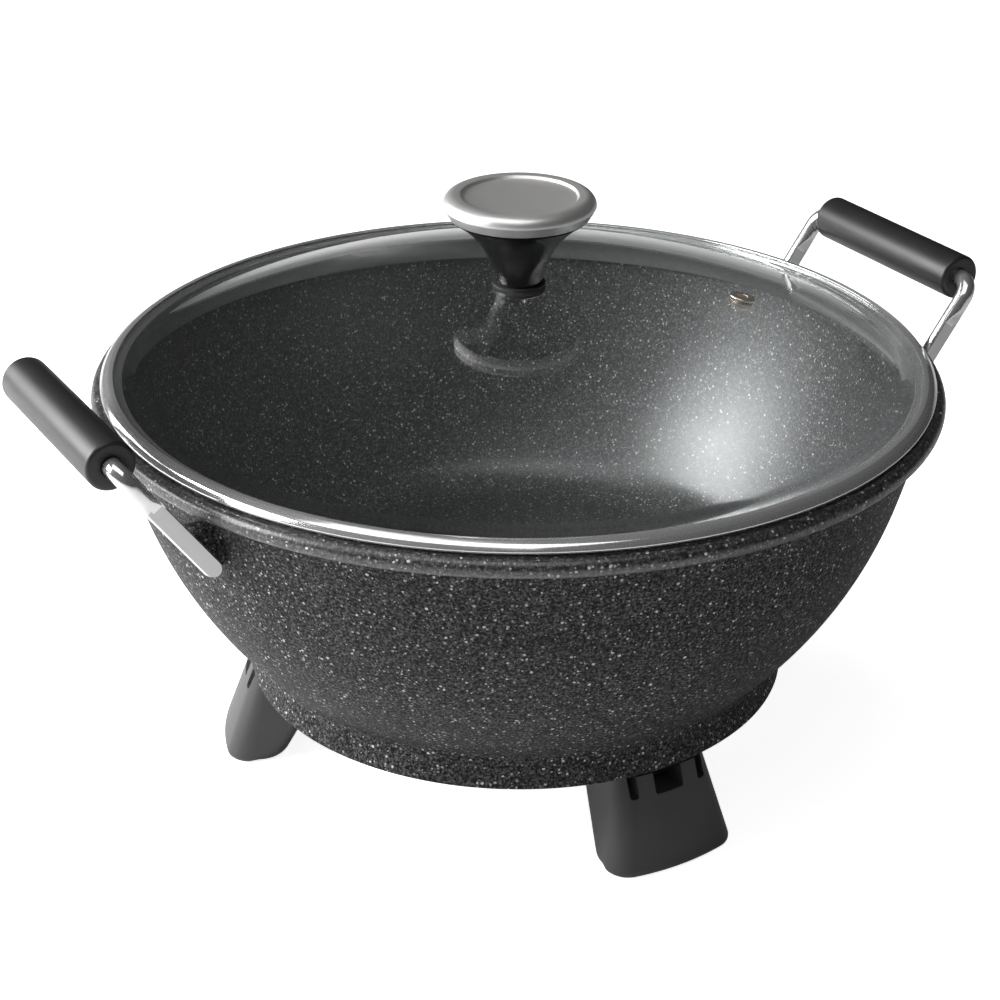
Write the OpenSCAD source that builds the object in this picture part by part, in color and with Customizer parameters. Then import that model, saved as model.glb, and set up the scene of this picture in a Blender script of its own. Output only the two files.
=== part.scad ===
// Electric wok cooker: cast bowl on three legs, wire handles and a lift-off glass lid.
// Millimetres. The feet stand on z = 0, the handles lie along x, the inlet faces +y.

/* [Bowl] */
// Outer radius of the rolled rim
rim_r = 178; // [174:1:184]
// Height of the flat rim top above the table
rim_z = 175; // [172:1:180]
// Radius of the round bead along the rim
rim_bead_r = 3.8; // [3.4:0.1:4.4]
// Width of the flat land between bead and mouth
rim_land = 7.2; // [6.6:0.2:8]
// How far the rim stands out from the wall below it
rim_overhang = 7.3; // [6.8:0.1:8]
// Height of the rim above the top of the wall
rim_depth = 9; // [8.2:0.2:10]
// Thickness of the cast wall
wall_t = 4; // [3.4:0.2:4.6]
// Lean of the upper wall away from upright
wall_lean = 14.5; // [13.5:0.25:15.5]
// Height of the straight upper wall
wall_straight = 27; // [24:1:30]
// Radius of the belly curve below the straight wall
belly_r = 184; // [181:1:188]
// Height of the cooking floor above the table
floor_z = 62; // [61:0.5:64]
// Thickness of the cooking floor
floor_t = 6; // [5:0.5:6.5]
// Radius of the curve between floor and wall
floor_curve = 32; // [26:1:45]

/* [Base] */
// Height of the bottom edge of the base skirt
skirt_z = 40; // [39:0.5:41]
// Outer radius of the base skirt at its bottom edge
skirt_r = 117.2; // [116:0.2:119]
// Thickness of the base skirt
skirt_t = 4; // [3.4:0.2:4.4]
// Outward flare of the base skirt
skirt_flare = 9; // [6:0.5:11]
// Radius of the hollow curve between belly and skirt
skirt_curve = 8; // [6:0.5:10]
// Thickness of the base plate
plate_t = 1; // [0.8:0.1:1.4]
// Depth of the dished middle of the base plate
plate_dish = 2.5; // [1.5:0.25:3]
// Gap between base plate and skirt
plate_gap = 1.6; // [1:0.2:2.4]

/* [Heating] */
// Radius of the element ring
element_ring_r = 72; // [66:1:76]
// Diameter of the element sheath
element_d = 7.6; // [7:0.2:8.2]
// Distance between the two terminal pins
pin_pitch = 31.8; // [30:0.2:33]
// Diameter of a terminal pin
pin_d = 4.7; // [4.4:0.1:5]
// Bore of the probe sleeve
probe_bore_d = 6.6; // [6.2:0.1:7]
// Wall of the probe sleeve
probe_wall = 1.7; // [1.4:0.1:2]
// Length of the probe sleeve
probe_len = 30; // [27:1:31]
// Outer width of the inlet guard
guard_w = 63; // [61:0.5:65]
// Outer height of the inlet guard
guard_h = 20.4; // [19.6:0.2:21.4]
// Wall of the inlet guard
guard_t = 2.2; // [1.8:0.1:2.6]
// Depth of the inlet guard from front to back
guard_depth = 22; // [21:0.5:23]

/* [Legs] */
// Direction of the front leg round the bowl
front_turn = -88.5; // [-91:0.5:-87]
// Angle between the front leg and each rear leg
leg_spread = 118.5; // [117:0.5:121]
// Distance from the bowl axis to the outer toe of a leg
toe_reach = 132; // [130:0.5:134]
// Distance from the bowl axis to the heel of a foot
heel_reach = 103.5; // [101:0.5:106]
// Half width of a leg at the foot
foot_half = 30.5; // [28:0.5:33]
// Half width of a leg at the top
leg_top_half = 22; // [20.5:0.5:23]
// Radius of the outer face of a leg, seen from above
face_curve = 104; // [95:1:125]
// Rounding of the upright edges at the top of a leg
leg_round = 9; // [7:0.5:10]
// Rounding of the upright edges at the foot
foot_corner = 11; // [9:0.5:13]
// Rounding of the lower edge of the foot
foot_edge = 3.2; // [2.4:0.2:4]
// Wall thickness of the moulded leg
leg_wall = 3; // [2.4:0.2:3.6]
// Depth of the notches at the top of the outer wall
notch_depth = 8.7; // [7:0.3:10]
// Width of the middle notch
notch_wide = 13.6; // [12:0.4:15]
// Width of the two side notches
notch_slim = 3.8; // [3:0.2:4.6]
// Distance of the side notches from the middle of the leg
notch_offset = 16.4; // [15.4:0.2:17]

/* [Handles] */
// How far the grip axis stands outside the rim
grip_reach = 20.5; // [19:0.5:26]
// Height of the grip axis above the rim top
grip_rise = 18.5; // [16:0.5:24]
// Diameter of the grip
grip_d = 19.7; // [18:0.1:22]
// Length of the grip
grip_len = 92.6; // [86:0.2:96]
// Diameter of the handle wire
wire_d = 7.6; // [7:0.2:8.4]
// Straight wire between the end of the grip and the bend
wire_out = 0.4; // [0.2:0.1:2]
// Centreline radius of the wire bends
wire_bend = 7.5; // [7:0.5:8.5]
// Slope of the wire legs
wire_slope = 54; // [52:0.5:56]
// Drop of the strap tip below the rim top
strap_drop = 27.4; // [26.4:0.2:28.4]
// Width of the flattened strap
strap_w = 7.8; // [7.4:0.2:8.4]
// Thickness of the flattened strap
strap_t = 4.4; // [4:0.1:4.8]
// Length of the flattened strap
strap_len = 36; // [34.5:0.5:37.5]
// Thickness of the cast lug behind a strap
lug_t = 9.6; // [8:0.2:11]

/* [Lid] */
// How far the band lies inside the rim
band_inset = 4; // [3.4:0.2:4.6]
// Height of the rolled bead of the band
band_bead_h = 4.2; // [4:0.1:4.6]
// Sheet thickness of the band
band_t = 0.8; // [0.6:0.1:1]
// Depth of the lip below the rim top
lip_drop = 11; // [8:0.5:12]
// Thickness of the glass
glass_t = 4; // [3.6:0.1:4]
// Height of the dome above the top of the band
dome_h = 32; // [29:0.5:35]
// Distance of the vent from the lid axis
vent_r = 95; // [85:1:110]
// Direction of the vent round the lid
vent_turn = -22.6; // [-40:1:-10]
// Outer diameter of the vent eyelet
vent_d = 11.4; // [10.4:0.2:12.4]

/* [Knob] */
// Radius of the knob cap at its widest
cap_r = 31.6; // [30:0.2:33]
// Radius of the recess in the cap
recess_r = 23.5; // [22:0.25:24.5]
// Depth of the recess in the cap
recess_depth = 1.4; // [1:0.1:1.8]
// Sheet thickness of the cap
cap_t = 1; // [0.8:0.1:1.2]
// Radius of the knob where it stands on the gasket
knob_foot_r = 9.6; // [9:0.2:10.4]
// Height of the flared knob body
knob_h = 28.4; // [27:0.2:30]
// Radius of the hollow flare of the knob body
knob_flare = 40; // [38:1:44]

/* [Fits] */
// Gap between lid band and rim when the lid is on
seat_gap = 0.3; // [0.2:0.05:0.4]
// Side gap between the lip of the lid and the mouth of the bowl
lip_gap = 1.8; // [1.5:0.1:2.2]
// Gap between two pieces that are fixed together
fit = 0.1; // [0.08:0.01:0.15]
// Gap round a screw or rivet in its hole
hole_fit = 0.2; // [0.15:0.05:0.3]
// Gap between the legs and the skirt
leg_gap = 0.3; // [0.2:0.05:0.5]

/* [Hidden] */
$fn = 96;

// Steps along a curve in a turned outline
steps = 24;
// Facets of large turned solids
big_fn = 240;
// Overlap of a cutting solid past the face it opens
past = 1;

coat = [0.13, 0.13, 0.14];
steel = [0.78, 0.78, 0.80];
bright = [0.86, 0.86, 0.88];
black = [0.07, 0.07, 0.08];
clear = [0.75, 0.85, 0.88];
brass = [0.80, 0.70, 0.45];
white = [0.92, 0.91, 0.88];

function arc(c, r, a0, a1, n) =
    [for (i = [0 : n]) [c[0] + r * cos(a0 + (a1 - a0) * i / n), c[1] + r * sin(a0 + (a1 - a0) * i / n)]];
function turn_of(from, to) = atan2(to[1] - from[1], to[0] - from[0]);

// A bent tube is this much thinner, and the straight next to it laps over it
bend_thin = 0.05;
bend_lap = 0.3;

// Bowl outline
mouth_r = rim_r - rim_bead_r - rim_land;
bead_c = [rim_r - rim_bead_r, rim_z - rim_bead_r];
wall_top = [rim_r - rim_overhang, rim_z - rim_depth];
wall_foot = [wall_top[0] - wall_straight * tan(wall_lean), wall_top[1] - wall_straight];
belly_c = [wall_foot[0] - belly_r * cos(wall_lean), wall_foot[1] + belly_r * sin(wall_lean)];
belly_in_r = belly_r - wall_t;
wall_in_top_r = wall_top[0] - wall_t / cos(wall_lean);
mouth_low_z = wall_top[1] + (mouth_r - wall_in_top_r) / tan(wall_lean);
floor_c_z = floor_z + floor_curve;
floor_c = [belly_c[0] + sqrt(pow(belly_in_r - floor_curve, 2) - pow(belly_c[1] - floor_c_z, 2)), floor_c_z];
under_z = floor_z - floor_t;

// Hollow curve where the belly meets the flared skirt
flare_k = tan(skirt_flare);
flare_a = skirt_r + flare_k * skirt_z + skirt_curve / cos(skirt_flare) - belly_c[0];
flare_b = flare_a * flare_k + belly_c[1];
flare_q = 1 + flare_k * flare_k;
flare_d = flare_a * flare_a + belly_c[1] * belly_c[1] - pow(belly_r + skirt_curve, 2);
skirt_c_z = (flare_b - sqrt(flare_b * flare_b - flare_q * flare_d)) / flare_q;
skirt_c = [belly_c[0] + flare_a - flare_k * skirt_c_z, skirt_c_z];
function skirt_in(z) = skirt_r - skirt_t / cos(skirt_flare) - (z - skirt_z) * flare_k;

// Base plate, element and inlet
guard_front_y = skirt_r + 3.8;
guard_back_y = guard_front_y - guard_depth;
plate_top_z = skirt_z + 2;
plate_z = plate_top_z - plate_t;
plate_r = skirt_in(plate_z) - plate_gap;
dish_r = skirt_r - 42;
dish_slope_r = dish_r + plate_dish + 0.5;
element_r = element_d / 2;
element_fit = 0.2;
element_drop = 9;
element_z = under_z - element_drop;
ridge_z = element_z + element_r - 1.3;
ridge_half = 7;
elbow_r = 10;
elbow_x = pin_pitch / 2 + elbow_r;
elbow_y = sqrt(pow(element_ring_r + elbow_r, 2) - elbow_x * elbow_x);
ring_gap = atan2(elbow_x, elbow_y);
ring_lap = 0.3;
cold_end_y = guard_back_y - 3;
bush_d = 9;
bush_len = 7;
pin_tip_y = guard_front_y - 1;
pin_round = 1.2;
collar_r = pin_d / 2 + 0.75;
collar_len = bush_len + 0.3;
relief_r = pin_d / 2 - 0.4;
relief_end = collar_len + 1;
probe_r = probe_bore_d / 2 + probe_wall;
probe_mouth_y = guard_front_y - 11;
probe_floor = 2;
pad_half = 7.5;
pad_y = [guard_back_y - 16, guard_back_y - 3];
pad_z = element_z + probe_r + fit;

// Inlet guard and its two ears
guard_back_t = 3;
guard_corner = 5;
guard_notch_gap = 1.2;
ear_r = 5;
ear_x = guard_w / 2 + ear_r;
ear_y = guard_back_y - 2.5;
ear_t = 4;
ear_z = element_z - ear_t;
guard_screw_d = 3.5;
guard_screw_len = 11;
screw_head_r = 3.4;
screw_head_t = 2.4;
head_taper = 0.8;
drive_half = 1.9;
drive_w = 0.8;

// Legs
leg_turns = [front_turn, front_turn + leg_spread, front_turn - leg_spread];
leg_top_z = plate_z - fit;
leg_shoulder_z = skirt_z - leg_gap;
spigot_r = skirt_in(skirt_z) - leg_gap * 2;
leg_front = skirt_r - 0.4;
leg_back = skirt_r - 38;
heel_round = 11;
heel_edge = 5.5;
heel_tuck = 1.5;
leg_flange_t = 10.2;
leg_seat_z = leg_top_z - leg_flange_t;
leg_screw_r = skirt_r - 20;
leg_screw_half = 9;
leg_screw_d = 4;
leg_screw_len = 21;
leg_boss_r = 5.5;
foot_t = 4;
notch_back = leg_front - 9;
notch_z = leg_shoulder_z - notch_depth;

// Handles
grip_x = rim_r + grip_reach;
grip_z = rim_z + grip_rise;
wire_r = wire_d / 2;
wire_half = grip_len / 2 + wire_out + wire_bend;
tip_z = rim_z - strap_drop;
tip_x = grip_x - (grip_z - tip_z) / tan(wire_slope);
leg_len = (grip_z - tip_z) / sin(wire_slope);
bar_half = wire_half - wire_bend + bend_lap;
strap_blend = 8;
strap_top = wire_r * 0.8;
blend_lap = 2;
blend_shy = 0.2;
strap_face = wire_half - strap_t / 2;
lug_face = strap_face - fit;
lug_low = -2;
lug_high = 15.5;
lug_shy = 0.6;
lug_root_x = tip_x - 22;
rivet_at = [2, 11.5];
rivet_r = 2;
rivet_head_r = 3.6;
rivet_head_t = 1.6;
strap_skin = 1.4;
grip_round = 1.6;
grip_bore_gap = 0.15;

// Lid
lid_r = rim_r - band_inset;
seat_z = rim_z + seat_gap;
web_z = seat_z + band_t;
lip_r = mouth_r - lip_gap;
lip_z = rim_z - lip_drop;
bead_z = web_z + 0.1;
band_top_z = bead_z + band_bead_h;
bead_in_r = lid_r - 4.2;
bead_mid_r = lid_r - 3;
bead_low_round = 1.2;
bead_top_round = 1.9;
crimp_r = lid_r - 5.6;
crimp_t = 0.6;
glass_z = web_z + fit;
glass_edge_t = band_top_z - crimp_t - fit - glass_z;
glass_r = bead_in_r - fit * 2;
glass_flat_r = lip_r - 4;
dome_top = band_top_z + dome_h;
dome_edge_z = glass_z + glass_edge_t;
dome_rise = dome_top - dome_edge_z;
dome_r = (pow(glass_flat_r, 2) + dome_rise * dome_rise) / (2 * dome_rise);
dome_c = [0, dome_top - dome_r];
dome_in_r = dome_r - glass_t;
glass_hole_r = 4.2;
vent_tilt = asin(vent_r / dome_r);
vent_barrel_r = 3.1;
vent_bore_r = 2.3;
vent_flange_t = 1.3;
vent_lift = 0.06;
vent_roll = 0.6;
vent_low_r = vent_d / 2 - 1;

// Knob, from the glass up
gasket_t = 1;
gasket_r = 11;
knob_z = dome_top + gasket_t;
knob_top_z = knob_z + knob_h;
flare_drop = 6;
flare_c_r = knob_foot_r + sqrt(knob_flare * knob_flare - flare_drop * flare_drop);
flare_c_z = knob_z - flare_drop;
knob_top_r = flare_c_r - sqrt(knob_flare * knob_flare - pow(knob_top_z - flare_c_z, 2));
cap_edge_z = knob_top_z + 0.6;
cap_edge_r = knob_top_r + 0.4;
cap_wide_z = cap_edge_z + 4.2;
cap_round = 4.6;
cap_crest_z = cap_wide_z + cap_round;
cap_crest_c = [cap_r - cap_round, cap_wide_z];
recess_edge_r = recess_r + 0.8;
recess_edge_drop = 0.3;
knob_plug_r = recess_r - 1.2;
knob_plug_z = cap_crest_z - recess_depth - cap_t - fit;
knob_screw_d = 5;
knob_bore_depth = 22;
knob_screw_in = 18;
pan_r = 4.6;
pan_t = 3.4;
washer_r = 9;
washer_t = 1.2;
glass_low_z = dome_top - glass_t - gasket_r * gasket_r / (2 * dome_in_r);
washer_z = glass_low_z - gasket_t - washer_t;

// Outer skin of the bowl from the axis round to the rim, filled
module bowl_outside() {
    rotate_extrude($fn = big_fn)
        polygon(concat(
            [[0, skirt_z], [skirt_r, skirt_z]],
            arc(skirt_c, skirt_curve, 180 + skirt_flare, turn_of(skirt_c, belly_c), 8),
            arc(belly_c, belly_r, turn_of(belly_c, skirt_c), -wall_lean, steps),
            [wall_top],
            arc(bead_c, rim_bead_r, -90, 90, 12),
            [[0, rim_z]]));
}

// Cooking space of the bowl
module bowl_inside() {
    rotate_extrude($fn = big_fn)
        polygon(concat(
            [[0, rim_z + past], [mouth_r, rim_z + past], [mouth_r, mouth_low_z]],
            arc(belly_c, belly_in_r, -wall_lean, turn_of(belly_c, floor_c), steps),
            arc(floor_c, floor_curve, turn_of(belly_c, floor_c), -90, steps),
            [[0, floor_z]]));
}

// Hollow under the cooking floor
module bowl_underneath() {
    rotate_extrude($fn = big_fn)
        polygon([[0, skirt_z - past], [skirt_in(skirt_z - past), skirt_z - past],
                 [skirt_in(under_z), under_z], [0, under_z]]);
}

// Path of the element as a solid of tube radius r
module element_path(r) {
    translate([0, 0, element_z]) {
        rotate([0, 0, 90 + ring_gap - ring_lap])
            rotate_extrude(angle = 360 - 2 * (ring_gap - ring_lap))
                translate([element_ring_r, 0])
                    circle(r, $fn = 48);
        for (side = [0, 1])
            mirror([side, 0, 0]) {
                translate([elbow_x, elbow_y, 0])
                    rotate([0, 0, 180])
                        rotate_extrude(angle = 90 - ring_gap)
                            translate([elbow_r, 0])
                                circle(r - bend_thin, $fn = 48);
                translate([pin_pitch / 2, elbow_y, 0])
                    rotate([-90, 0, 0])
                        cylinder(r = r - bend_thin, h = cold_end_y - elbow_y, $fn = 48);
            }
    }
}

// Point on the strap of a handle, s up from the tip and t across
function strap_at(s, t) =
    [tip_x + s * cos(wire_slope) + t * sin(wire_slope), tip_z + s * sin(wire_slope) - t * cos(wire_slope)];

// Lies a flat outline in the x-z plane, from y0 to y0 plus t
module upright(y0, t) {
    translate([0, y0 + t, 0])
        rotate([90, 0, 0])
            linear_extrude(t)
                children();
}

module cast_lug() {
    upright(lug_face - lug_t, lug_t)
        polygon([[lug_root_x, strap_at(lug_low, 0)[1]],
                 strap_at(lug_low, strap_w / 2 - lug_shy),
                 strap_at(lug_high, strap_w / 2 - lug_shy),
                 strap_at(lug_high, -strap_w / 2 + lug_shy),
                 [lug_root_x, strap_at(lug_high, -strap_w / 2 + lug_shy)[1]]]);
}

module rivet_holes(r, y0, t) {
    for (s = rivet_at)
        translate([strap_at(s, 0)[0], y0, strap_at(s, 0)[1]])
            rotate([-90, 0, 0])
                cylinder(r = r, h = t, $fn = 32);
}

// Repeats its child at the four ends of the two handles
module four_ends() {
    for (a = [0, 1], b = [0, 1])
        mirror([a, 0, 0])
            mirror([0, b, 0])
                children();
}

module at_leg_screws() {
    for (turn = leg_turns, side = [-1, 1])
        rotate([0, 0, turn])
            translate([leg_screw_r, side * leg_screw_half, 0])
                children();
}

module at_guard_screws() {
    for (side = [-1, 1])
        translate([side * ear_x, ear_y, 0])
            children();
}

module wok_bowl() {
    color(coat)
    difference() {
        union() {
            difference() {
                union() {
                    bowl_outside();
                    four_ends()
                        cast_lug();
                }
                bowl_underneath();
            }
            translate([0, 0, ridge_z])
                difference() {
                    cylinder(r = element_ring_r + ridge_half, h = floor_z - floor_t / 2 - ridge_z);
                    translate([0, 0, -past])
                        cylinder(r = element_ring_r - ridge_half, h = under_z - ridge_z + past);
                }
            at_leg_screws()
                translate([0, 0, plate_top_z + fit])
                    cylinder(r = leg_boss_r, h = under_z - plate_top_z + fit, $fn = 48);
            at_guard_screws()
                translate([0, 0, element_z + fit])
                    cylinder(r = ear_r, h = under_z - element_z, $fn = 48);
            translate([-pad_half, pad_y[0], pad_z])
                cube([2 * pad_half, pad_y[1] - pad_y[0], under_z + fit - pad_z]);
        }
        bowl_inside();
        element_path(element_r + element_fit);
        translate([-probe_r - fit, probe_mouth_y - probe_len - fit, element_z - probe_r - past])
            cube([2 * (probe_r + fit), probe_len, 2 * probe_r + past + fit / 2]);
        translate([-guard_w / 2 - guard_notch_gap, guard_back_y, skirt_z - past])
            cube([guard_w + 2 * guard_notch_gap, rim_r,
                  element_z + guard_h / 2 + guard_notch_gap - skirt_z + past]);
        at_leg_screws()
            cylinder(d = leg_screw_d + 2 * fit, h = leg_seat_z + leg_screw_len + fit, $fn = 32);
        at_guard_screws()
            cylinder(d = guard_screw_d + 2 * fit, h = ear_z + guard_screw_len + fit, $fn = 32);
        four_ends()
            rivet_holes(rivet_r + hole_fit, lug_face - lug_t - past, lug_t + 2 * past);
    }
}

module heating_element() {
    color(steel)
    element_path(element_r);
}

module terminal_pin(x) {
    color(bright)
    translate([x, cold_end_y + fit, element_z])
        rotate([-90, 0, 0])
            rotate_extrude()
                polygon(concat(
                    [[0, 0], [collar_r, 0], [collar_r, collar_len],
                     [relief_r, collar_len], [relief_r, relief_end], [pin_d / 2, relief_end]],
                    arc([pin_d / 2 - pin_round, pin_tip_y - cold_end_y - pin_round], pin_round, 0, 90, 8),
                    [[0, pin_tip_y - cold_end_y]]));
}

module left_terminal_pin() {
    terminal_pin(-pin_pitch / 2);
}

module right_terminal_pin() {
    terminal_pin(pin_pitch / 2);
}

module terminal_bushes() {
    color(white)
    for (side = [-1, 1])
        translate([side * pin_pitch / 2, cold_end_y + fit, element_z])
            rotate([-90, 0, 0])
                difference() {
                    cylinder(d = bush_d, h = bush_len, $fn = 64);
                    translate([0, 0, -past])
                        cylinder(r = collar_r + fit, h = bush_len + 2 * past, $fn = 64);
                }
}

module probe_sleeve() {
    color(bright)
    translate([0, probe_mouth_y - probe_len, element_z])
        rotate([-90, 0, 0])
            difference() {
                cylinder(r = probe_r, h = probe_len, $fn = 64);
                translate([0, 0, probe_floor])
                    cylinder(d = probe_bore_d, h = probe_len, $fn = 64);
            }
}

// Rounded outline of the guard, shrunk by t
module guard_outline(t) {
    half_w = guard_w / 2 - guard_corner;
    half_h = guard_h / 2 - guard_corner;
    polygon(concat(
        arc([half_w, half_h], guard_corner - t, 0, 90, 8),
        arc([-half_w, half_h], guard_corner - t, 90, 180, 8),
        arc([-half_w, -half_h], guard_corner - t, 180, 270, 8),
        arc([half_w, -half_h], guard_corner - t, 270, 360, 8)));
}

module inlet_guard() {
    color(black)
    difference() {
        union() {
            translate([0, 0, element_z])
                upright(guard_back_y, guard_depth)
                    guard_outline(0);
            at_guard_screws()
                translate([0, 0, ear_z])
                    cylinder(r = ear_r, h = ear_t, $fn = 48);
            for (side = [0, 1])
                mirror([side, 0, 0])
                    translate([guard_w / 2 - guard_t, guard_back_y, ear_z])
                        cube([ear_x - guard_w / 2 + guard_t, ear_y + ear_r - guard_back_y, ear_t]);
        }
        translate([0, 0, element_z])
            upright(guard_back_y + guard_back_t, guard_depth)
                guard_outline(guard_t);
        for (side = [-1, 1])
            translate([side * pin_pitch / 2, guard_back_y - past, element_z])
                rotate([-90, 0, 0])
                    cylinder(d = bush_d + 2 * fit, h = guard_back_t + 2 * past, $fn = 64);
        translate([0, guard_back_y - past, element_z])
            rotate([-90, 0, 0])
                cylinder(r = probe_r + fit, h = guard_back_t + 2 * past, $fn = 64);
        at_guard_screws()
            translate([0, 0, ear_z - past])
                cylinder(d = guard_screw_d + 2 * hole_fit, h = ear_t + 2 * past, $fn = 32);
    }
}

// Pan-head screw, head below z = 0 and shank up
module pan_screw(d, len, head_r, head_t) {
    difference() {
        union() {
            cylinder(d = d, h = len, $fn = 32);
            translate([0, 0, -head_t])
                cylinder(r1 = head_r * head_taper, r2 = head_r, h = head_t, $fn = 48);
        }
        for (turn = [0, 90])
            rotate([0, 0, turn])
                translate([-drive_half, -drive_w / 2, -head_t - past])
                    cube([2 * drive_half, drive_w, head_t / 2 + past]);
    }
}

module guard_screws() {
    color(steel)
    at_guard_screws()
        translate([0, 0, ear_z - fit])
            pan_screw(guard_screw_d, guard_screw_len, screw_head_r, screw_head_t);
}

module base_plate() {
    color(steel)
    difference() {
        rotate_extrude($fn = big_fn)
            polygon([[0, plate_z - plate_dish], [dish_r, plate_z - plate_dish], [dish_slope_r, plate_z],
                     [plate_r, plate_z], [plate_r, plate_top_z], [dish_slope_r - plate_t / 2, plate_top_z],
                     [dish_r - plate_t / 2, plate_top_z - plate_dish], [0, plate_top_z - plate_dish]]);
        translate([-ear_x - ear_r - guard_notch_gap, ear_y - ear_r - guard_notch_gap, plate_z - past])
            cube([2 * (ear_x + ear_r + guard_notch_gap), plate_r, plate_t + 2 * past]);
        at_leg_screws()
            translate([0, 0, plate_z - past])
                cylinder(d = leg_screw_d + 2 * hole_fit, h = plate_t + 2 * past, $fn = 32);
    }
}

// Place of a post behind the curved outer face of a leg, at a share of its half width
function face_post(reach, half, corner, share, z) =
    let (y = share * (half - corner))
    [reach - face_curve + sqrt(pow(face_curve - corner, 2) - y * y), y, z];

// Round pad with a softened lower edge
module foot_pad(r, edge) {
    rotate_extrude($fn = 32)
        polygon(concat([[0, 0]], arc([r - edge, edge], edge, -90, 0, 5), [[0, edge]]));
}

module leg_post() {
    cylinder(r = leg_round, h = past, $fn = 32);
}

// Rounded outside of a leg along +x, foot flat on z = 0
module leg_outside() {
    hull() {
        for (share = [-1 : 0.25 : 1]) {
            translate(face_post(toe_reach, foot_half, foot_corner, share, 0))
                foot_pad(foot_corner, foot_edge);
            translate(face_post(leg_front, leg_top_half, leg_round, share, leg_top_z - past))
                leg_post();
        }
        for (side = [-1, 1]) {
            translate([heel_reach + heel_round, side * (foot_half - heel_tuck - heel_round), 0])
                foot_pad(heel_round, heel_edge);
            translate([leg_back + leg_round, side * (leg_top_half - leg_round), leg_top_z - past])
                leg_post();
        }
    }
}

module moulded_leg(turn) {
    hollow_half = leg_top_half - 2 * leg_wall;
    color(black)
    difference() {
        rotate([0, 0, turn])
            difference() {
                leg_outside();
                upright(-hollow_half, 2 * hollow_half)
                    polygon([[leg_back - leg_round, foot_t],
                             [toe_reach - foot_edge - leg_wall, foot_t],
                             [leg_front - leg_wall, leg_seat_z],
                             [leg_back - leg_round, leg_seat_z]]);
                translate([notch_back, -notch_wide / 2, notch_z])
                    cube([toe_reach - notch_back, notch_wide, notch_depth + past * 2]);
                for (side = [-1, 1])
                    translate([notch_back, side * notch_offset - notch_slim / 2, notch_z])
                        cube([toe_reach - notch_back, notch_slim, notch_depth + past * 2]);
            }
        translate([0, 0, leg_shoulder_z])
            difference() {
                cylinder(r = toe_reach, h = past * 3, $fn = big_fn);
                translate([0, 0, -past])
                    cylinder(r = spigot_r, h = past * 5, $fn = big_fn);
            }
        at_leg_screws()
            translate([0, 0, leg_seat_z - past])
                cylinder(d = leg_screw_d + 2 * hole_fit, h = leg_flange_t + 2 * past, $fn = 32);
    }
}

module front_leg() {
    moulded_leg(leg_turns[0]);
}

module right_leg() {
    moulded_leg(leg_turns[1]);
}

module left_leg() {
    moulded_leg(leg_turns[2]);
}

module leg_screws() {
    color(steel)
    at_leg_screws()
        translate([0, 0, leg_seat_z - fit])
            pan_screw(leg_screw_d, leg_screw_len, screw_head_r, screw_head_t);
}

// Lies its child along the wire leg on the +y side of the right handle, x up from the strap tip
module along_leg() {
    translate([tip_x, wire_half, tip_z])
        rotate([0, -wire_slope, 0])
            children();
}

// Round wire of one leg with its lower end pressed to a wedge, and the bend at its upper end
module wire_leg() {
    wedge_from = strap_len - blend_lap;
    wedge_to = strap_len + strap_blend;
    wedge_half = strap_t / 2 - blend_shy;
    difference() {
        translate([wedge_from, 0, 0])
            rotate([0, 90, 0])
                cylinder(r = wire_r, h = leg_len - wire_bend - wedge_from + bend_lap, $fn = 48);
        for (side = [0, 1])
            mirror([0, side, 0])
                translate([0, 0, -wire_d])
                    linear_extrude(2 * wire_d)
                        polygon([[wedge_from - past, wedge_half], [wedge_from, wedge_half],
                                 [wedge_to, wire_r + blend_shy], [wedge_to, wire_d],
                                 [wedge_from - past, wire_d]]);
    }
    translate([leg_len - wire_bend, -wire_bend, 0])
        rotate_extrude(angle = 90)
            translate([wire_bend, 0])
                circle(wire_r - bend_thin, $fn = 48);
}

// Flattened strap that runs up into the wedge of the wire
module strap() {
    blend_end = strap_len + strap_blend;
    upright(-strap_t / 2, strap_t)
        polygon(concat(
            arc([0, 0], strap_w / 2, 90, 270, 24),
            [[strap_len, -strap_w / 2], [blend_end, -strap_top],
             [blend_end, strap_top], [strap_len, strap_w / 2]]));
}

module handle_wire() {
    color(bright)
    union() {
        translate([grip_x, -bar_half, grip_z])
            rotate([-90, 0, 0])
                cylinder(r = wire_r, h = 2 * bar_half, $fn = 48);
        for (side = [0, 1])
            mirror([0, side, 0])
                difference() {
                    along_leg() {
                        wire_leg();
                        strap();
                    }
                    rivet_holes(rivet_r + hole_fit, strap_face - past, strap_t - strap_skin + past);
                }
    }
}

module left_handle_wire() {
    mirror([1, 0, 0])
        handle_wire();
}

module right_handle_wire() {
    handle_wire();
}

module handle_grip() {
    color(black)
    translate([grip_x, -grip_len / 2, grip_z])
        rotate([-90, 0, 0])
            rotate_extrude()
                polygon(concat(
                    [[wire_r + grip_bore_gap, 0]],
                    arc([grip_d / 2 - grip_round, grip_round], grip_round, -90, 0, 8),
                    arc([grip_d / 2 - grip_round, grip_len - grip_round], grip_round, 0, 90, 8),
                    [[wire_r + grip_bore_gap, grip_len]]));
}

module left_grip() {
    mirror([1, 0, 0])
        handle_grip();
}

module right_grip() {
    handle_grip();
}

module handle_rivets() {
    shank = lug_t + strap_t - strap_skin;
    color(bright)
    four_ends() {
        rivet_holes(rivet_r, lug_face - lug_t, shank);
        for (s = rivet_at)
            translate([strap_at(s, 0)[0], lug_face - lug_t - fit - rivet_head_t, strap_at(s, 0)[1]])
                rotate([-90, 0, 0])
                    cylinder(r1 = rivet_head_r * head_taper, r2 = rivet_head_r, h = rivet_head_t, $fn = 32);
        rivet_holes(rivet_r, lug_face - lug_t - fit - past / 2, past);
    }
}

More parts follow.
